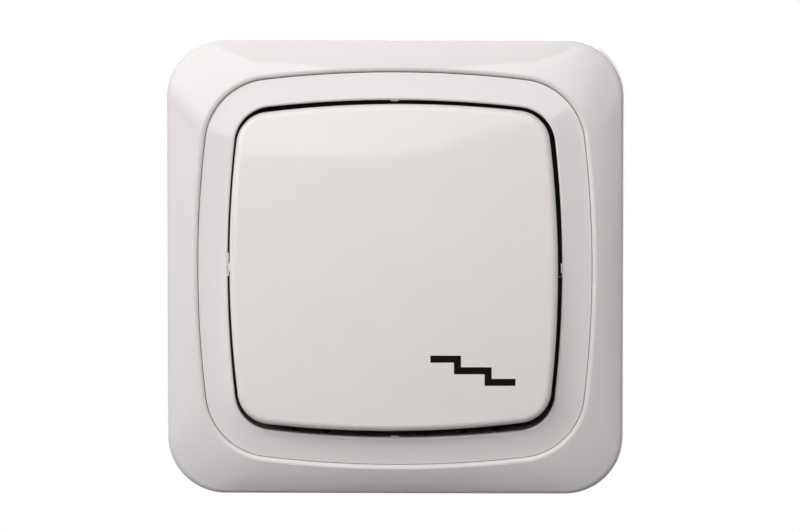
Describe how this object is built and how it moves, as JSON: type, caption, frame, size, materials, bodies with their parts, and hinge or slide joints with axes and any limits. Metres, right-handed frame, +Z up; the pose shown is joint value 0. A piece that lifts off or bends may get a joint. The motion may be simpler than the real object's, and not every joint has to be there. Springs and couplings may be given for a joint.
{
  "type": "light switch",
  "caption": "Flush-mounted white staircase rocker switch: square cover frame, centre ring and tilting key over a support plate and contact mechanism.",
  "frame": {"origin": "midway between the two box-screw slots, in the plane of the wall, where the support plate's back and the cover frame's rim lie", "axes": "+Z up, +X to the right as seen from the room, +Y into the wall; the front faces -Y"},
  "size_m": [0.081, 0.035, 0.081],
  "materials": {
    "white_cover": "gloss",
    "tumbler_plastic": "satin",
    "housing_plastic": "matte",
    "plated_steel": "zinc plated",
    "spring_steel": "bright",
    "brass": "satin",
    "contact_silver": "polished"
  },
  "bodies": {
    "base": {"cover_frame": "white_cover", "centre_ring": "white_cover", "support_plate": "plated_steel", "base_housing": "housing_plastic", "mechanism_cover": "housing_plastic", "housing_screws": "plated_steel", "common_strip": "brass", "upper_strip": "brass", "lower_strip": "brass", "fixed_contact_rivets": "contact_silver"},
    "rocker": {"rocker_key": "white_cover", "tumbler": "tumbler_plastic", "tumbler_spring": "spring_steel"},
    "plunger": {"plunger": "tumbler_plastic"},
    "seesaw": {"seesaw_contact": "brass", "moving_contact_rivets": "contact_silver"},
    "common_terminal_cage": {"common_terminal_cage": "plated_steel"},
    "common_terminal_screw": {"common_terminal_screw": "plated_steel"},
    "upper_terminal_cage": {"upper_terminal_cage": "plated_steel"},
    "upper_terminal_screw": {"upper_terminal_screw": "plated_steel"},
    "lower_terminal_cage": {"lower_terminal_cage": "plated_steel"},
    "lower_terminal_screw": {"lower_terminal_screw": "plated_steel"},
    "left_claw_screw": {"left_claw_screw": "plated_steel"},
    "left_claw_nut": {"left_claw_nut": "plated_steel"},
    "left_claw": {"left_claw": "plated_steel"},
    "right_claw_screw": {"right_claw_screw": "plated_steel"},
    "right_claw_nut": {"right_claw_nut": "plated_steel"},
    "right_claw": {"right_claw": "plated_steel"}
  },
  "joints": [
    {"name": "rocker_tilt", "type": "hinge", "parent": "base", "child": "rocker", "pos_m": [0, -0.0046, 0], "axis": [1, 0, 0], "range_deg": [0, 8]},
    {"name": "plunger_slide", "type": "slide", "parent": "rocker", "child": "plunger", "axis": [0, -0.9976, 0.0698], "range_m": [0, 0.0005], "stiffness_N_per_m": 400, "springref_m": -0.003, "deforming": ["tumbler_spring"]},
    {"name": "seesaw_rock", "type": "hinge", "parent": "base", "child": "seesaw", "pos_m": [0, 0.0098, 0], "axis": [1, 0, 0], "range_deg": [-16, 0]},
    {"name": "common_terminal_screw_turn", "type": "hinge", "parent": "base", "child": "common_terminal_screw", "pos_m": [0.0124, 0.0168, -0.0187], "axis": [0, 0, 1], "range_deg": [0, 1800]},
    {"name": "common_terminal_cage_slide", "type": "slide", "parent": "base", "child": "common_terminal_cage", "axis": [0, 0, -1], "range_m": [0, 0.0025]},
    {"name": "upper_terminal_screw_turn", "type": "hinge", "parent": "base", "child": "upper_terminal_screw", "pos_m": [-0.0124, 0.0168, 0.0187], "axis": [0, 0, -1], "range_deg": [0, 1800]},
    {"name": "upper_terminal_cage_slide", "type": "slide", "parent": "base", "child": "upper_terminal_cage", "axis": [0, 0, 1], "range_m": [0, 0.0025]},
    {"name": "lower_terminal_screw_turn", "type": "hinge", "parent": "base", "child": "lower_terminal_screw", "pos_m": [-0.0124, 0.0168, -0.0187], "axis": [0, 0, 1], "range_deg": [0, 1800]},
    {"name": "lower_terminal_cage_slide", "type": "slide", "parent": "base", "child": "lower_terminal_cage", "axis": [0, 0, -1], "range_m": [0, 0.0025]},
    {"name": "left_claw_screw_turn", "type": "hinge", "parent": "base", "child": "left_claw_screw", "pos_m": [-0.0224, -0.001, 0], "axis": [0, 1, 0], "range_deg": [0, 2160]},
    {"name": "left_claw_nut_slide", "type": "slide", "parent": "base", "child": "left_claw_nut", "axis": [0, -1, 0], "range_m": [0, 0.003]},
    {"name": "left_claw_swing", "type": "hinge", "parent": "left_claw_nut", "child": "left_claw", "pos_m": [-0.0224, 0.006, 0], "axis": [0, 0, 1], "range_deg": [0, 20]},
    {"name": "right_claw_screw_turn", "type": "hinge", "parent": "base", "child": "right_claw_screw", "pos_m": [0.0224, -0.001, 0], "axis": [0, 1, 0], "range_deg": [0, 2160]},
    {"name": "right_claw_nut_slide", "type": "slide", "parent": "base", "child": "right_claw_nut", "axis": [0, -1, 0], "range_m": [0, 0.003]},
    {"name": "right_claw_swing", "type": "hinge", "parent": "right_claw_nut", "child": "right_claw", "pos_m": [0.0224, 0.006, 0], "axis": [0, 0, -1], "range_deg": [0, 20]}
  ],
  "couplings": [
    {"joint": "seesaw_rock", "follows": "rocker_tilt", "ratio": -2},
    {"joint": "common_terminal_screw_turn", "follows": "common_terminal_cage_slide", "rad_per_m": 12566},
    {"joint": "upper_terminal_screw_turn", "follows": "upper_terminal_cage_slide", "rad_per_m": 12566},
    {"joint": "lower_terminal_screw_turn", "follows": "lower_terminal_cage_slide", "rad_per_m": 12566},
    {"joint": "left_claw_screw_turn", "follows": "left_claw_nut_slide", "rad_per_m": 12566},
    {"joint": "left_claw_swing", "follows": "left_claw_nut_slide", "rad_per_m": 116.36},
    {"joint": "right_claw_screw_turn", "follows": "right_claw_nut_slide", "rad_per_m": 12566},
    {"joint": "right_claw_swing", "follows": "right_claw_nut_slide", "rad_per_m": 116.36}
  ]
}
